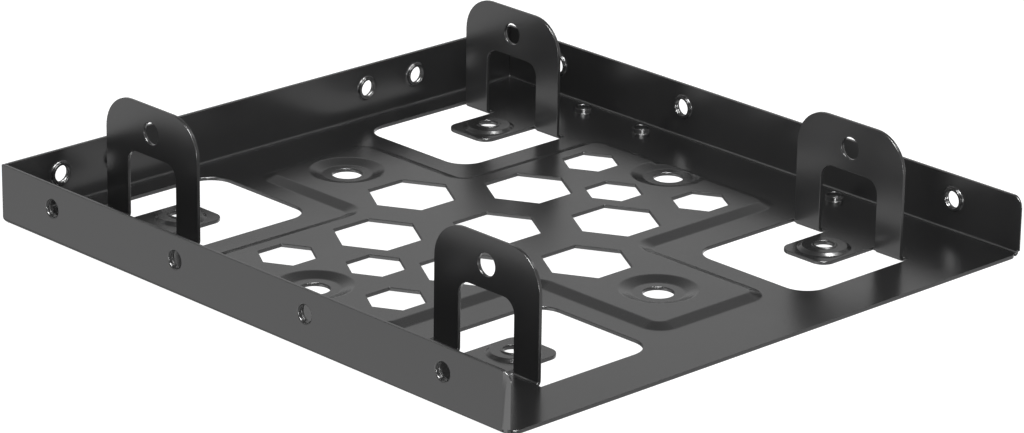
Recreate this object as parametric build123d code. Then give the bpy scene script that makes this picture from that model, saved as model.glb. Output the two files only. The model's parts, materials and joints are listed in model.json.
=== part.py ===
from build123d import *
import os

# Drive bay adapter bracket: one sheet of steel, pierced, pressed and folded up.
# Millimetres. The origin is the middle of the tray's outline, on its underside.
# +X is the right side wall, +Y the rear wall, -Y the open front, +Z up.

# Sheet
sheet = 0.8
bend_inner_radius = 0.5

# Tray
tray_width = 145.4
tray_length = 154.0
wall_height = 12.9
wall_front_corner_radius = 2.5
corner_seam = 0.1
corner_relief_radius = 0.3
front_relief_depth = 0.6
lead_in_length = 2.0
lead_in_depth = 0.5
front_floor_corner_radius = 1.8

# Four arched ears, folded up from the floor, that hold a drive between them
drive_width = 101.6
drive_clearance = 0.1
drive_hole_spacing = 101.6
ear_offset = 2.8
ear_width = 29.7
ear_height = 26.75
ear_corner_radius = 8.0
ear_hole_height = 20.9
ear_hole_diameter = 4.8
window_width = 15.7
window_height = 15.75
window_corner_radius = 3.0

# Openings in the floor that the ears came out of
cutout_inner_x = 21.5
cutout_side_gap = 1.3
cutout_corner_radius = 5.5

# Foot tabs left in the floor inside the windows
tab_width = 12.8
tab_reach = 13.85
tab_corner_radius = 3.0
boss_from_ear = 6.7
boss_base_diameter = 11.1
boss_height = 0.6
boss_slope = 0.8
boss_hole_diameter = 4.2

# Raised cross in the floor
pattern_offset = 3.6
cross_height = 0.85
cross_slope = 2.8
cross_half_length = 56.4
cross_half_width = 28.0
cross_stem_half_width = 16.2
cross_stem_rear = 59.3
cross_stem_front = 63.6
cross_corner_radius = 5.0
cross_inside_radius = 2.5

# Round dimples pressed back down through the cross
dimple_reach_x = 50.4
dimple_reach_y = 47.3
dimple_diameter = 16.3
dimple_slope = 2.7
dimple_hole_diameter = 6.5

# Hexagonal vents, measured across their flats
large_vent_flats = 16.8
large_vent_row = 26.6
large_vent_column = 21.5
small_vent_flats = 11.1
small_vent_near_x = 33.9
small_vent_far_x = 43.3
small_vent_row = 16.65

# Screw holes with a collar drawn inwards, in the walls, the floor and the foot tabs
side_hole_pitch = 39.62
side_hole_offset = 0.75
wall_hole_height = 7.7
wall_hole_diameter = 3.8
rear_hole_first = 28.4
rear_hole_offset = -0.4
rear_hole_pitch = 14.55
left_rear_holes = 3
right_rear_holes = 2
floor_hole_from_wall = 5.4
floor_hole_places = (47.4, 28.9, -29.3)
floor_hole_diameter = 3.0
wall_collar_thickness = 0.6
wall_collar_height = 0.75
foot_collar_thickness = 0.5
foot_collar_height = 0.2
floor_collar_thickness = 0.5
floor_collar_height = 1.1

# Worked out from the sizes above
bend_outer_radius = bend_inner_radius + sheet
half_width = tray_width / 2
half_length = tray_length / 2
ear_inner_x = (drive_width + drive_clearance) / 2
hinge_x = ear_inner_x + bend_outer_radius
ear_places = (ear_offset + drive_hole_spacing / 2, ear_offset - drive_hole_spacing / 2)
tab_end_x = ear_inner_x - tab_reach
boss_x = ear_inner_x - boss_from_ear
cross_top = sheet + cross_height
overlap = 1.0
reach_past = 5.0


def slab(sketch, low, high):
    """A flat sketch made solid between two heights."""
    return extrude(Pos(0, 0, low) * sketch, high - low)


def along_x(sketch, low, high):
    """A sketch drawn in Y and Z made solid between two X places."""
    return Pos(low, 0, 0) * extrude(Plane.YZ * sketch, high - low)


def along_y(sketch, low, high):
    """A sketch drawn in X and Z made solid between two Y places."""
    facing_rear = Plane(origin=(0, 0, 0), x_dir=(1, 0, 0), z_dir=(0, -1, 0))
    return Pos(0, high, 0) * extrude(facing_rear * sketch, high - low)


def rectangle(x0, x1, y0, y1):
    return Pos((x0 + x1) / 2, (y0 + y1) / 2) * Rectangle(x1 - x0, y1 - y0)


def rounded(sketch, radius, where):
    """The sketch with the corners that pass the test rounded."""
    return fillet([vertex for vertex in sketch.vertices() if where(vertex)], radius)


def mirrored(solid):
    return solid + mirror(solid, about=Plane.YZ)


def cross_outline(inset):
    """The raised cross's outline, drawn in by an inset that keeps every corner concentric."""
    arm = rectangle(
        -cross_half_length + inset, cross_half_length - inset,
        pattern_offset - cross_half_width + inset, pattern_offset + cross_half_width - inset,
    )
    stem_half = cross_stem_half_width - inset
    stem = rectangle(
        -stem_half, stem_half,
        pattern_offset - cross_stem_front + inset, pattern_offset + cross_stem_rear - inset,
    )

    def inside_corner(vertex):
        at_stem_side = abs(abs(vertex.X) - stem_half) < 1e-4
        at_arm_side = abs(abs(vertex.Y - pattern_offset) - (cross_half_width - inset)) < 1e-4
        return at_stem_side and at_arm_side

    def outside_corner(vertex):
        return not inside_corner(vertex)

    outline = rounded(arm + stem, cross_corner_radius - inset, outside_corner)
    return rounded(outline, cross_inside_radius + inset, inside_corner)


def raised_cross():
    base = Pos(0, 0, sheet) * cross_outline(0).face()
    top = Pos(0, 0, cross_top) * cross_outline(cross_slope).face()
    return loft([base, top], ruled=True)


def cone(x, y, bottom_diameter, top_diameter, low, high):
    return Pos(x, y, (low + high) / 2) * Cone(bottom_diameter / 2, top_diameter / 2, high - low)


dimple_places = (
    (0, pattern_offset + dimple_reach_y),
    (0, pattern_offset - dimple_reach_y),
    (dimple_reach_x, pattern_offset),
    (-dimple_reach_x, pattern_offset),
)


def floor_plan():
    """The floor seen from above: cut-outs for the ears, foot tabs and front corner reliefs."""
    plan = rectangle(
        -half_width + bend_outer_radius, half_width - bend_outer_radius,
        -half_length, half_length - bend_outer_radius,
    )
    front_corners = plan.vertices().sort_by(Axis.Y)[:2]
    plan = fillet(front_corners, front_floor_corner_radius)
    for side in (1, -1):
        for place in ear_places:
            half_opening = ear_width / 2 + cutout_side_gap
            opening = rectangle(cutout_inner_x, hinge_x, place - half_opening, place + half_opening)
            inboard = opening.vertices().sort_by(Axis.X)[:2]
            opening = fillet(inboard, cutout_corner_radius)
            tab = rectangle(tab_end_x, hinge_x + overlap, place - tab_width / 2, place + tab_width / 2)
            tab = fillet(tab.vertices().sort_by(Axis.X)[:2], tab_corner_radius)
            opening = opening - tab
            if side < 0:
                opening = mirror(opening, about=Plane.YZ)
            plan -= opening
    return plan


def pressed_floor():
    """The floor sheet. Its underside is its upper side moved down by one sheet thickness."""
    plan = floor_plan()
    upper = slab(plan, -reach_past, sheet) + raised_cross()
    for x, y in dimple_places:
        bottom = dimple_diameter - 2 * dimple_slope
        upper -= cone(x, y, bottom, dimple_diameter, sheet, cross_top)
    for side in (1, -1):
        for place in ear_places:
            top = boss_base_diameter - 2 * boss_slope
            upper += cone(side * boss_x, place, boss_base_diameter, top, sheet, sheet + boss_height)
    return upper - Pos(0, 0, -sheet) * upper


def folded_walls():
    """Both side walls and the rear wall with their bends, cut out of one rounded tray."""
    outer = slab(rectangle(-half_width, half_width, -half_length, half_length), 0, wall_height)
    inner = slab(
        rectangle(-half_width + sheet, half_width - sheet, -half_length - reach_past, half_length - sheet),
        sheet, wall_height + reach_past,
    )

    def fold_edges(block):
        """The lower edges along the two sides and the rear."""
        edges = block.faces().sort_by(Axis.Z)[0].edges()
        return edges.sort_by(Axis.Y)[1:]

    outer = fillet(fold_edges(outer), bend_outer_radius)
    inner = fillet(fold_edges(inner), bend_inner_radius)
    flat_floor = rectangle(
        -half_width + bend_outer_radius, half_width - bend_outer_radius,
        -half_length - reach_past, half_length - bend_outer_radius,
    )
    walls = outer - inner - slab(flat_floor, -reach_past, wall_height)

    side_view = rectangle(-half_length, half_length, 0, wall_height)
    front_top = [v for v in side_view.vertices() if v.X < 0 and v.Y > 0]
    side_view = fillet(front_top, wall_front_corner_radius)
    walls = walls & along_x(side_view, -half_width, half_width)
    return walls - mirrored(front_relief()) - mirrored(lead_in()) - mirrored(rear_corner_relief())


def front_relief():
    """The notch that lets a side wall's bend end cleanly at the open front."""
    notch = rectangle(
        half_width - bend_outer_radius, half_width + overlap,
        -half_length - overlap, -half_length + front_relief_depth,
    )
    return slab(notch, -overlap, bend_outer_radius)


def lead_in():
    """The wedge taken off a side wall's outer face at the front, so that the tray slides into a bay."""
    front = -half_length - overlap
    wedge = Polygon(
        (half_width, -half_length + lead_in_length),
        (half_width - lead_in_depth, -half_length),
        (half_width - lead_in_depth, front),
        (half_width + overlap, front),
        (half_width + overlap, -half_length + lead_in_length),
        align=None,
    )
    return slab(wedge, -overlap, wall_height + overlap)


def rear_corner_relief():
    """The seam between the rear wall and a side wall, and the round hole at its foot."""
    seam = rectangle(
        half_width - sheet - corner_seam, half_width - sheet,
        half_length - sheet, half_length + overlap,
    )
    fold_crossing = Pos(half_width - bend_outer_radius, half_length - bend_outer_radius)
    hole = fold_crossing * Circle(corner_relief_radius)
    return slab(seam, -overlap, wall_height + overlap) + slab(hole, -overlap, bend_outer_radius)


def ear():
    """One arched ear on the right side, folded up at its hinge line, centred on Y = 0."""
    upright = rectangle(ear_inner_x, ear_inner_x + sheet, bend_outer_radius, ear_height)
    ring = Pos(hinge_x, bend_outer_radius) * (Circle(bend_outer_radius) - Circle(bend_inner_radius))
    bend = ring & rectangle(ear_inner_x, hinge_x, 0, bend_outer_radius)
    root = rectangle(hinge_x, hinge_x + overlap, 0, sheet)
    folded = along_y(upright + bend + root, -ear_width / 2, ear_width / 2)

    outline = rectangle(-ear_width / 2, ear_width / 2, -reach_past, ear_height)
    outline = fillet(outline.vertices().sort_by(Axis.Y)[2:], ear_corner_radius)
    window = rectangle(-window_width / 2, window_width / 2, -2 * reach_past, window_height)
    window = fillet(window.vertices().sort_by(Axis.Y)[2:], window_corner_radius)
    outline = outline - window - Pos(0, ear_hole_height) * Circle(ear_hole_diameter / 2)
    return folded & along_x(outline, ear_inner_x - overlap, hinge_x + 2 * overlap)


def vent(x, y, flats):
    hexagon = RegularPolygon(flats / 2, 6, major_radius=False)
    return slab(Pos(x, pattern_offset + y) * hexagon, -overlap, cross_top + overlap)


def vents():
    places = [(0, 0, large_vent_flats)]
    for along in (large_vent_row, -large_vent_row):
        places.append((0, along, large_vent_flats))
    for side in (1, -1):
        places.append((side * small_vent_near_x, 0, small_vent_flats))
        for along in (1, -1):
            places.append((side * large_vent_column, along * large_vent_row / 2, large_vent_flats))
            places.append((side * small_vent_far_x, along * small_vent_row, small_vent_flats))
    return [vent(*place) for place in places]


def dimple_holes():
    return [
        Pos(x, y, cross_top / 2) * Cylinder(dimple_hole_diameter / 2, cross_top + 2 * overlap)
        for x, y in dimple_places
    ]


def drawn_collar(plane, diameter, thickness, height):
    """The ring drawn up round a hole. The plane lies on the near face of the sheet."""
    ring = Circle(diameter / 2 + thickness) - Circle(diameter / 2)
    return extrude(plane.offset(-sheet / 2) * ring, sheet / 2 + height)


def drawn_bore(plane, diameter, height):
    """The straight hole through the sheet and its collar."""
    return extrude(plane.offset(-sheet - overlap) * Circle(diameter / 2), sheet + height + 2 * overlap)


def wall_hole_planes():
    """A plane on the inner face at each wall hole, looking into the tray."""
    planes = []
    for side in (1, -1):
        for step in (-1.5, -0.5, 0.5, 1.5):
            at = (side * (half_width - sheet), side_hole_offset + step * side_hole_pitch, wall_hole_height)
            planes.append(Plane(origin=at, z_dir=(-side, 0, 0)))
    rear = [-rear_hole_first - step * rear_hole_pitch for step in range(left_rear_holes)]
    rear += [rear_hole_first + step * rear_hole_pitch for step in range(right_rear_holes)]
    for across in rear:
        at = (rear_hole_offset + across, half_length - sheet, wall_hole_height)
        planes.append(Plane(origin=at, z_dir=(0, -1, 0)))
    return planes


def drawn_holes():
    """Each collared hole's plane on the near face, and its diameter, collar thickness and collar height."""
    wall = (wall_collar_thickness, wall_collar_height)
    low = (floor_collar_thickness, floor_collar_height)
    foot = (foot_collar_thickness, foot_collar_height)
    holes = [(plane, wall_hole_diameter, *wall) for plane in wall_hole_planes()]
    for side in (1, -1):
        for along in floor_hole_places:
            at = (side * (half_width - floor_hole_from_wall), along, sheet)
            holes.append((Plane(origin=at), floor_hole_diameter, *low))
        for along in ear_places:
            at = (side * boss_x, along, sheet + boss_height)
            holes.append((Plane(origin=at), boss_hole_diameter, *foot))
    return holes


def bracket():
    body = pressed_floor() + folded_walls()
    for place in ear_places:
        body += mirrored(Pos(0, place, 0) * ear())
    body = body - vents() - dimple_holes()
    holes = drawn_holes()
    body = body + [drawn_collar(*hole) for hole in holes]
    return body - [drawn_bore(plane, diameter, height) for plane, diameter, _, height in holes]


os.makedirs("parts", exist_ok=True)
bracket_tray = bracket()
bracket_tray.label = "bracket_tray"
export_step(bracket_tray, "parts/bracket_tray.step")
print("solids:", len(bracket_tray.solids()), "volume:", round(bracket_tray.volume, 1))
print(bracket_tray.bounding_box())
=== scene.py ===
# %% [markdown]
# A drive bay adapter bracket is one sheet of steel, pierced, pressed and folded, then coated
# satin black. The solid model gives its true sizes and folds, but its edges are all as sharp
# as a razor. On the real sheet the press and the coating round every edge a little, and
# those small round edges are what catch the light. So this scene keeps the model's form,
# rounds its edges, gives it the coating, and lights it as for a catalogue picture.

# %% Load the model and note its box
import json
import math

import bmesh
import bpy
from mathutils import Matrix, Vector
from mathutils.bvhtree import BVHTree


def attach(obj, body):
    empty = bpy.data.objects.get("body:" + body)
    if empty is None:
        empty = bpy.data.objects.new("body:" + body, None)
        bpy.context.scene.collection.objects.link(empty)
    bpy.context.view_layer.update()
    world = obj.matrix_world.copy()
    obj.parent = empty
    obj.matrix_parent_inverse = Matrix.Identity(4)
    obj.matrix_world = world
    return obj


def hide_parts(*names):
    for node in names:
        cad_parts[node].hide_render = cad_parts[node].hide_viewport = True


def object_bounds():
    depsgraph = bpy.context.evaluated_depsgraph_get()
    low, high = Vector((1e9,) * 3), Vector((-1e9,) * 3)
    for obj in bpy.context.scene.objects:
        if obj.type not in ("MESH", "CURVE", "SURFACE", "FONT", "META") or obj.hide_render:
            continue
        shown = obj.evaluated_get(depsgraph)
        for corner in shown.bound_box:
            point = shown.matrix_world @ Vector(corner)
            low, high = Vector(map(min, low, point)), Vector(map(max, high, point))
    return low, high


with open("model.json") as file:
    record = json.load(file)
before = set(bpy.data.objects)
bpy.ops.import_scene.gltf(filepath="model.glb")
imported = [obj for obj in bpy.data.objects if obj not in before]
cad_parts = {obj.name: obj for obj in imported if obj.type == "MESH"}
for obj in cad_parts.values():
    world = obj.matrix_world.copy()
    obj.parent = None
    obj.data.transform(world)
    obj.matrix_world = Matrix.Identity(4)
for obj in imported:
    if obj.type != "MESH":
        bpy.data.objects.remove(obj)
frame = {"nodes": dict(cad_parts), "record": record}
cad_low, cad_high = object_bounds()
sheet_model = frame["nodes"]["bracket_tray"]
mm = 0.001
print("model size in mm:", [round(side / mm, 2) for side in cad_high - cad_low])


# %% [markdown]
# The camera could be placed by eye, but a matched view is easier to compare. A long lens a
# metre away keeps the folds nearly parallel. The camera is turned in three plain steps:
# tilted down, swung round to face the tray's corner, and rolled a touch.

# %% Place the camera
camera_place = Vector((-614.3, -645.9, 331.8)) * mm
camera_swing = math.radians(43.595)
camera_tilt = math.radians(20.133)
camera_roll = math.radians(0.818)
lens_mm = 161.11
sensor_mm = 36
seen_from, seen_to = 0.05, 50

camera_data = bpy.data.cameras.new("camera")
camera_data.sensor_width = sensor_mm
camera_data.lens = lens_mm
camera_data.clip_start = seen_from
camera_data.clip_end = seen_to
camera = bpy.data.objects.new("camera", camera_data)
bpy.context.scene.collection.objects.link(camera)
camera_turn = (
    Matrix.Rotation(-camera_swing, 4, "Z")
    @ Matrix.Rotation(math.radians(90) - camera_tilt, 4, "X")
    @ Matrix.Rotation(camera_roll, 4, "Z")
)
camera.matrix_world = Matrix.Translation(camera_place) @ camera_turn
bpy.context.scene.camera = camera
print("camera to the tray's middle in mm:", round(camera_place.length / mm))


# %% [markdown]
# A shader is a small network of nodes, for a material and for the room's light alike. These
# helpers keep the networks readable: one starts a material, one adds a node and sets its
# plain values, and one joins two sockets. The owner is the material or the world.

# %% Helpers for shader networks
def new_material(name):
    """An empty node material with its output node."""
    material = bpy.data.materials.new(name)
    material.use_nodes = True
    nodes = material.node_tree.nodes
    nodes.clear()
    return material, nodes.new("ShaderNodeOutputMaterial")


def add_node(owner, kind, inputs=None, **settings):
    """Adds one node, with its settings and the plain values of its inputs."""
    node = owner.node_tree.nodes.new(kind)
    for name, value in settings.items():
        setattr(node, name, value)
    for name, value in (inputs or {}).items():
        node.inputs[name].default_value = value
    return node


def join(owner, out_socket, in_socket):
    """Joins one node's output to another's input."""
    owner.node_tree.links.new(out_socket, in_socket)


print("shader helpers:", [helper.__name__ for helper in (new_material, add_node, join)])


# %% [markdown]
# The tray stands on a light table: an opal sheet lit from below until it is paper white. It
# gives its own light, so it stays white under the tray too, and hardly any shadow shows. Only
# the camera sees it: its light would creep up the cut walls of the holes and turn them grey,
# while on the real part they are the darkest thing there is.

# %% Lay the light table
table_size = 12.0
table_drop = 0.02 * mm
table_glow = 1.0
table_colour = (0.35, 0.35, 0.35, 1)
table_roughness = 0.9
table_gloss = 0.1

table_mesh = bpy.data.meshes.new("light_table")
table_shape = bmesh.new()
bmesh.ops.create_grid(table_shape, x_segments=1, y_segments=1, size=table_size / 2)
table_shape.to_mesh(table_mesh)
table_shape.free()
table = bpy.data.objects.new("light_table", table_mesh)
table.location.z = cad_low.z - table_drop
bpy.context.scene.collection.objects.link(table)
table.visible_diffuse = False
table.visible_glossy = False
table.visible_shadow = False

opal, output = new_material("lit_opal_sheet")
surface = add_node(opal, "ShaderNodeBsdfPrincipled", {
    "Base Color": table_colour,
    "Roughness": table_roughness,
    "Specular IOR Level": table_gloss,
    "Emission Color": (1, 1, 1, 1),
    "Emission Strength": table_glow,
})
join(opal, surface.outputs["BSDF"], output.inputs["Surface"])
table_mesh.materials.append(opal)
print("light table side in m:", table_size)


# %% [markdown]
# Black gloss shows what is around it more than what shines on it, so the room is graded and
# not even. It is bright near the horizon, which the flat floor of the tray mirrors, and darker
# higher up, which the pressed slopes mirror. That is what makes a shallow pressing show on a
# black sheet. Each step is a height from horizon to zenith, and the brightness there.

# %% Grade the room from bright walls to a dim ceiling
room_steps = ((0.0, 0.86), (0.34, 0.84), (0.60, 0.52), (0.80, 0.30), (1.0, 0.25))

room = bpy.data.worlds.new("graded_room")
room.use_nodes = True
look = add_node(room, "ShaderNodeTexCoord")
split = add_node(room, "ShaderNodeSeparateXYZ")
join(room, look.outputs["Generated"], split.inputs["Vector"])


def grey_ramp(steps, height):
    """A ramp of greys over a height or a likeness between 0 and 1."""
    ramp = add_node(room, "ShaderNodeValToRGB")
    stops = ramp.color_ramp.elements
    while len(stops) < len(steps):
        stops.new(0.5)
    for stop, (place, brightness) in zip(stops, steps):
        stop.position = place
        stop.color = (brightness, brightness, brightness, 1)
    join(room, height, ramp.inputs["Fac"])
    return ramp.outputs["Color"]


upper_room = grey_ramp(room_steps, split.outputs["Z"])
print("room brightness from horizon to zenith:", [step[1] for step in room_steps])

# %% [markdown]
# Below the horizon the room is brighter still, as a white table is, but for one dark side at
# the rear. The cut walls that are seen at a slant mirror that side, and would flash like glass
# without it. Each step here is a likeness to the dark side's direction, from none to full.

# %% Give the room a bright lower half with one dark side
low_steps = ((0.0, 1.0), (0.45, 1.35), (0.64, 1.40), (0.86, 0.25), (1.0, 0.25))
dark_side_towards = (0.265, 0.90, -0.344)
horizon_blend = 0.06

dark_side = add_node(room, "ShaderNodeVectorMath", operation="DOT_PRODUCT")
dark_side.inputs[1].default_value = Vector(dark_side_towards).normalized()
join(room, look.outputs["Generated"], dark_side.inputs[0])
lower_room = grey_ramp(low_steps, dark_side.outputs["Value"])
above = add_node(room, "ShaderNodeMapRange", {"From Min": -horizon_blend, "From Max": 0.0})
join(room, split.outputs["Z"], above.inputs["Value"])
both = add_node(room, "ShaderNodeMix", data_type="RGBA")
join(room, above.outputs["Result"], both.inputs["Factor"])
join(room, lower_room, both.inputs["A"])
join(room, upper_room, both.inputs["B"])
join(room, both.outputs["Result"], room.node_tree.nodes["Background"].inputs["Color"])
bpy.context.scene.world = room
print("brightness of the dark side:", low_steps[-1][1])


# %% [markdown]
# Small bright lamps do the drawing. Where the sheet curves, as in a fold or round the lip of a
# screw hole, one thin strip of it always faces halfway between the camera and a lamp, and
# that strip lights up. The first two lamps draw the folds. The hole lamp, high above the
# camera, draws a white crescent at each screw hole, and the overhead and front lamps draw it
# out into a longer arc. The front lamp hangs level with the tray, where neither its floor nor
# its walls mirror it to anyone who looks down on it. The low lamp lights the cut walls that
# face left. The lamps show in reflections only: as they are set here to light nothing
# diffusely, their number and strength don't change how black the coat is.

# %% Hang the lamps
lamp_distance = 1.5


def soft_lamp(name, towards, size, brightness):
    """A square lamp that faces the tray. Its power is worked out from its size and brightness."""
    data = bpy.data.lights.new(name, "AREA")
    data.shape = "SQUARE"
    data.size = size
    data.energy = brightness * math.pi * size * size
    lamp = bpy.data.objects.new(name, data)
    lamp.location = Vector(towards).normalized() * lamp_distance
    lamp.rotation_euler = (-lamp.location).to_track_quat("-Z", "Y").to_euler()
    lamp.visible_camera = False
    lamp.visible_diffuse = False
    bpy.context.scene.collection.objects.link(lamp)


soft_lamp("left_rear_lamp", towards=(-0.34, 0.67, 0.64), size=0.40, brightness=3)
soft_lamp("right_front_lamp", towards=(0.64, -0.34, 0.64), size=0.40, brightness=3.5)
soft_lamp("hole_lamp", towards=(-0.40, -0.40, 0.82), size=0.7, brightness=55)
soft_lamp("overhead_lamp", towards=(0.13, -0.29, 0.95), size=0.5, brightness=60)
soft_lamp("front_lamp", towards=(-0.50, -0.87, 0.0), size=0.35, brightness=45)
soft_lamp("low_left_lamp", towards=(-0.92, 0.04, -0.34), size=0.9, brightness=2.2)
bpy.context.scene.view_settings.view_transform = "Standard"


# %% [markdown]
# The model arrives as loose triangles. Rounding them as they are would crease every flat face,
# and remeshing would blur the sheet's crisp outline. Merging the points that meet and
# dissolving the lines inside each flat face gives a clean mesh of the same form, whose real
# edges can then be found by their angle.

# %% Make a clean copy of the sheet
merge_distance = 0.002 * mm
flat_angle = math.radians(0.5)

sheet_mesh = sheet_model.data.copy()
sheet_mesh.name = "satin_sheet"
sheet = bpy.data.objects.new("satin_sheet", sheet_mesh)
bpy.context.scene.collection.objects.link(sheet)
shape = bmesh.new()
shape.from_mesh(sheet_mesh)
bmesh.ops.remove_doubles(shape, verts=shape.verts, dist=merge_distance)
bmesh.ops.dissolve_limit(
    shape, angle_limit=flat_angle, verts=shape.verts, edges=shape.edges,
    use_dissolve_boundaries=False, delimit={"NORMAL"},
)
print("faces after cleaning:", len(shape.faces))

# %% [markdown]
# The sheet has several kinds of edge. Cut edges turn sharply and get a tiny round, as coated
# steel has. The feet and shoulders of the long pressed slopes turn by only 17 degrees, and a
# press rounds them widely. At a drawn screw hole the punch leaves a wide round where the collar
# leaves the wall, and another where the screw goes in. One Bevel modifier would round them all
# alike, so each kind is found by its angle and its place and is bevelled with its own width,
# the widest first.

# %% Find edges by their angle
facet_angle = math.radians(12)
crease_angle = math.radians(25)
cut_angle = math.radians(31)
hole_angle = math.radians(60)


def edges_between(low_angle, high_angle):
    """The edges whose two faces turn by an angle in the given range."""
    return [
        edge for edge in shape.edges
        if len(edge.link_faces) == 2 and low_angle < edge.calc_face_angle(0) <= high_angle
    ]


def round_off(name, edges, width, segments):
    """Bevels the edges, and says how many there were and how wide the round is."""
    bmesh.ops.bevel(
        shape, geom=edges, offset=width, offset_type="OFFSET", affect="EDGES",
        segments=segments, profile=0.5, material=-1, clamp_overlap=False, loop_slide=False,
    )
    print(name, len(edges), "edges, rounded by", round(width / mm, 2), "mm")


print("cut edges before any rounding:", len(edges_between(cut_angle, math.pi)))

# %% [markdown]
# A screw hole's edges lie within a few millimetres of its axis. The model's record lists every
# mount with its middle, its axis and its spacing, so the holes need no measuring here. Beside
# each mount of the walls stands the direction in which its holes follow each other.

# %% Find the screw holes in the record
hole_rows = {
    "left_wall_rear_pair": "Y", "left_wall_front_pair": "Y",
    "right_wall_rear_pair": "Y", "right_wall_front_pair": "Y",
    "rear_wall_inner_pair": "X", "rear_wall_outer_pair": "X", "rear_wall_end_hole": "X",
}
row_directions = {"X": Vector((1, 0, 0)), "Y": Vector((0, 1, 0))}


def screw_holes(name, row):
    """The middle, axis and radius of each hole of one mount."""
    mount = next(mount for mount in frame["record"]["mounts"] if mount["name"] == name)
    sizes = mount["dims"]
    middle, axis = Vector(mount["pos_m"]), Vector(mount["axis"])
    radius = sizes.get("hole_r_mm", sizes.get("r_mm")) * mm
    reach = row_directions[row] * sizes.get("spacing_x_mm", 0) / 2 * mm
    middles = [middle - reach, middle + reach] if reach.length else [middle]
    return [(place, axis, radius) for place in middles]


holes = [hole for name, row in hole_rows.items() for hole in screw_holes(name, row)]
print("screw holes in the walls:", len(holes))

# %% [markdown]
# Three questions sort the edges by their place. An edge belongs to a hole when its middle lies
# near the hole's axis and near the wall. It belongs to the outer face of a wall when its middle
# lies on the side of the model's box. It belongs to the pressed floor when it lies low and at
# no hole.

# %% Sort edges by their place
hole_reach = 3.2 * mm
hole_depth = 2.0 * mm
face_depth = 0.1 * mm
pressing_top = 3.0 * mm


def middle_of(edge):
    """The point halfway along an edge."""
    return (edge.verts[0].co + edge.verts[1].co) / 2


def at_a_hole(edge):
    """Whether an edge lies round the mouth or the collar of a screw hole."""
    for place, axis, radius in holes:
        away = middle_of(edge) - place
        along = away.dot(axis)
        if abs(along) < hole_depth and (away - along * axis).length < hole_reach:
            return True
    return False


def on_the_outer_face(edge):
    """Whether an edge lies on the outer face of a wall."""
    middle = middle_of(edge)
    return min(middle.x - cad_low.x, cad_high.x - middle.x, cad_high.y - middle.y) < face_depth


def on_a_pressing(edge):
    """Whether an edge belongs to the pressed floor and not to a wall or a screw hole."""
    return max(end.co.z for end in edge.verts) < pressing_top and not at_a_hole(edge)


print("edges at the screw holes:", sum(at_a_hole(edge) for edge in shape.edges))

# %% [markdown]
# The rounds are cut now, each kind with the width that it has on the real sheet. The collar's
# foot is a hollow edge and the mouth is a raised one, so the two are told apart by is_convex.
# The edges are looked up again before each bevel, because the one before has changed the mesh.

# %% Round the holes, the pressed creases and the cut edges
collar_foot_round = 0.5 * mm
mouth_round = 0.4 * mm
crease_round = 0.3 * mm
cut_round = 0.13 * mm

sharp_surface = BVHTree.FromBMesh(shape)
hole_edges = [edge for edge in edges_between(hole_angle, math.pi) if at_a_hole(edge)]
collar_feet = [edge for edge in hole_edges if not edge.is_convex]
round_off("collar feet:", collar_feet, collar_foot_round, segments=3)
hole_edges = [edge for edge in edges_between(hole_angle, math.pi) if at_a_hole(edge)]
mouths = [edge for edge in hole_edges if edge.is_convex and on_the_outer_face(edge)]
round_off("hole mouths:", mouths, mouth_round, segments=3)
creases = [edge for edge in edges_between(facet_angle, crease_angle) if on_a_pressing(edge)]
round_off("creases:", creases, crease_round, segments=2)
round_off("cut edges:", edges_between(cut_angle, math.pi), cut_round, segments=2)

# %% [markdown]
# Where three slanted edges meet, a bevel can throw a point off the sheet. Every point is
# compared with the sharp surface, and the few strays are put back on it. Rounding takes metal
# away and never adds any, so each point is also held inside the solid model's box. The shading
# then follows each point's largest faces, which keeps flat faces flat beside a round.

# %% Put stray points back and finish the mesh
stray_distance = 0.21 * mm
large_face_weight = 100

strays = 0
for point in shape.verts:
    nearest, normal, index, distance = sharp_surface.find_nearest(point.co)
    if distance > stray_distance:
        point.co = nearest
        strays += 1
    for side in range(3):
        point.co[side] = min(max(point.co[side], cad_low[side]), cad_high[side])
print("strays put back:", strays)
for face in shape.faces:
    face.smooth = True
shape.to_mesh(sheet_mesh)
shape.free()
weighted = sheet.modifiers.new("weighted_normals", "WEIGHTED_NORMAL")
weighted.weight = large_face_weight
weighted.keep_sharp = False
print("faces with rounded edges:", len(sheet_mesh.polygons))


# %% [markdown]
# Each wall hole is tapped for a screw. A thread could be a picture of grooves, but a real ridge
# catches the lamps at every angle. One small triangle is spun up the hole's axis by a spin that
# also climbs, which leaves a closed ridge. Its foot is sunk a little into the wall of the hole.

# %% Shape one thread
thread_pitch = 0.5 * mm
thread_depth = 0.12 * mm
thread_foot = 0.7 * thread_pitch
thread_turns = 1.75
thread_hidden = 0.03 * mm
turn_steps = 24
weld_distance = 0.0005 * mm


def thread_ridge(radius):
    """A closed ridge that climbs round the Z axis inside a hole of this radius."""
    ridge = bmesh.new()
    corners = [
        ridge.verts.new((radius + thread_hidden, 0, -thread_foot / 2)),
        ridge.verts.new((radius - thread_depth, 0, 0)),
        ridge.verts.new((radius + thread_hidden, 0, thread_foot / 2)),
    ]
    profile = ridge.faces.new(corners)
    climb = Vector((0, 0, thread_pitch / turn_steps))
    bmesh.ops.spin(
        ridge, geom=[profile], cent=(0, 0, 0), axis=(0, 0, 1), dvec=climb,
        angle=math.tau * thread_turns, steps=round(turn_steps * thread_turns),
        use_merge=False, use_duplicate=False,
    )
    bmesh.ops.remove_doubles(ridge, verts=ridge.verts, dist=weld_distance)
    bmesh.ops.recalc_face_normals(ridge, faces=ridge.faces)
    return ridge


print("thread pitch and depth in mm:", thread_pitch / mm, thread_depth / mm)

# %% [markdown]
# A ridge is shaped at the origin, so each one is turned to its hole's axis and moved to just
# below the hole's mouth. All of them are gathered in one mesh, as one piece.

# %% Set a thread in each wall hole
thread_start = 0.5 * mm


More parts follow.
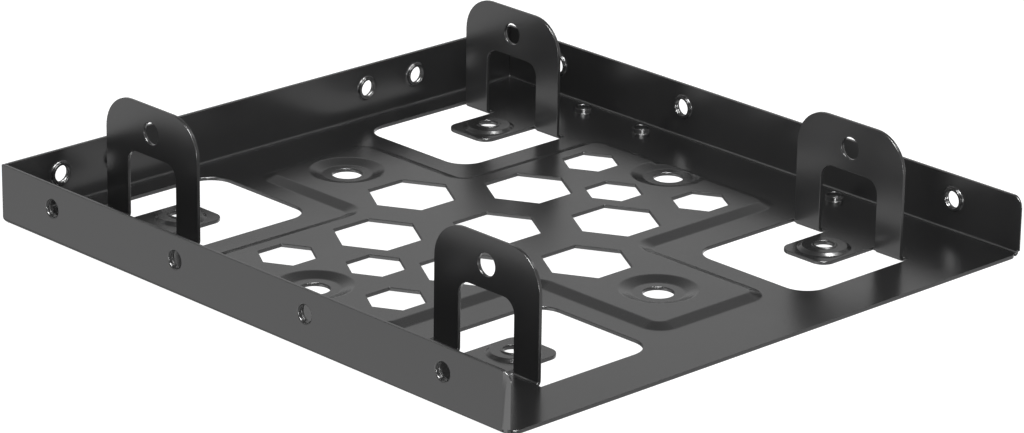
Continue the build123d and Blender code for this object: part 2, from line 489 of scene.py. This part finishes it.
def mouth_of(place, axis):
    """The point where a hole's axis meets the outer face of its wall."""
    mouth = Vector(place)
    if abs(axis.x) > abs(axis.y):
        mouth.x = axis.x * cad_high.x
    else:
        mouth.y = axis.y * cad_high.y
    return mouth


threads = bmesh.new()
for place, axis, radius in holes:
    ridge = thread_ridge(radius)
    thread_turn = (-axis).to_track_quat("Z", "Y").to_matrix().to_4x4()
    bmesh.ops.transform(ridge, matrix=thread_turn, verts=ridge.verts)
    bmesh.ops.translate(ridge, vec=mouth_of(place, axis) - axis * thread_start, verts=ridge.verts)
    one = bpy.data.meshes.new("one_thread")
    ridge.to_mesh(one)
    ridge.free()
    threads.from_mesh(one)
    bpy.data.meshes.remove(one)
thread_mesh = bpy.data.meshes.new("screw_threads")
threads.to_mesh(thread_mesh)
threads.free()
thread_piece = bpy.data.objects.new("screw_threads", thread_mesh)
bpy.context.scene.collection.objects.link(thread_piece)
print("thread faces:", len(thread_mesh.polygons))


# %% [markdown]
# The coat is a satin black powder, baked on after folding. It is almost black itself, and most
# of its look is the soft mirror of its surface. Powder flows out with a faint orange peel, and
# its gloss varies a little from place to place. A plain roughness would look like plastic, and
# a picture would stretch at the folds. So both come from noise on Object coordinates, at the
# size that they have on real powder, and they hold still from every side.

# %% Mix the satin black coat
peel_size = 0.9 * mm
peel_height = 0.02 * mm
peel_strength = 0.3
gloss_patch = 14 * mm
patch_spread = (0.3, 0.7)
gloss_range = (0.225, 0.255)
coat_tints = ((0.025, 0.025, 0.0255, 1), (0.030, 0.030, 0.0305, 1))
coat_ior = 1.5

coat, output = new_material("satin_black_coat")
where = add_node(coat, "ShaderNodeTexCoord")
peel = add_node(coat, "ShaderNodeTexNoise", {"Scale": 1 / peel_size, "Detail": 2.0, "Roughness": 0.5})
patch = add_node(coat, "ShaderNodeTexNoise", {"Scale": 1 / gloss_patch, "Detail": 3.0, "Roughness": 0.55})
for noise in (peel, patch):
    join(coat, where.outputs["Object"], noise.inputs["Vector"])
gloss = add_node(coat, "ShaderNodeMapRange", {
    "From Min": patch_spread[0],
    "From Max": patch_spread[1],
    "To Min": gloss_range[0],
    "To Max": gloss_range[1],
})
join(coat, patch.outputs["Fac"], gloss.inputs["Value"])
tint = add_node(coat, "ShaderNodeMix", {"A": coat_tints[0], "B": coat_tints[1]}, data_type="RGBA")
join(coat, patch.outputs["Fac"], tint.inputs["Factor"])
bump = add_node(coat, "ShaderNodeBump", {"Strength": peel_strength, "Distance": peel_height})
join(coat, peel.outputs["Fac"], bump.inputs["Height"])
surface = add_node(coat, "ShaderNodeBsdfPrincipled", {"IOR": coat_ior})
join(coat, tint.outputs["Result"], surface.inputs["Base Color"])
join(coat, gloss.outputs["Result"], surface.inputs["Roughness"])
join(coat, bump.outputs["Normal"], surface.inputs["Normal"])
join(coat, surface.outputs["BSDF"], output.inputs["Surface"])
print("coat roughness from", gloss_range[0], "to", gloss_range[1])

# %% [markdown]
# On the real bracket the threads are coated with the sheet, so both pieces get the same coat.
# Both ride on the part's only body, and the rounded sheet stands in for the sharp one.

# %% Coat the sheet and the threads
for piece in (sheet, thread_piece):
    piece.data.materials.clear()
    piece.data.materials.append(coat)
    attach(piece, "root")
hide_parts("bracket_tray")
print("coat:", coat.name, "on", [piece.name for piece in (sheet, thread_piece)])
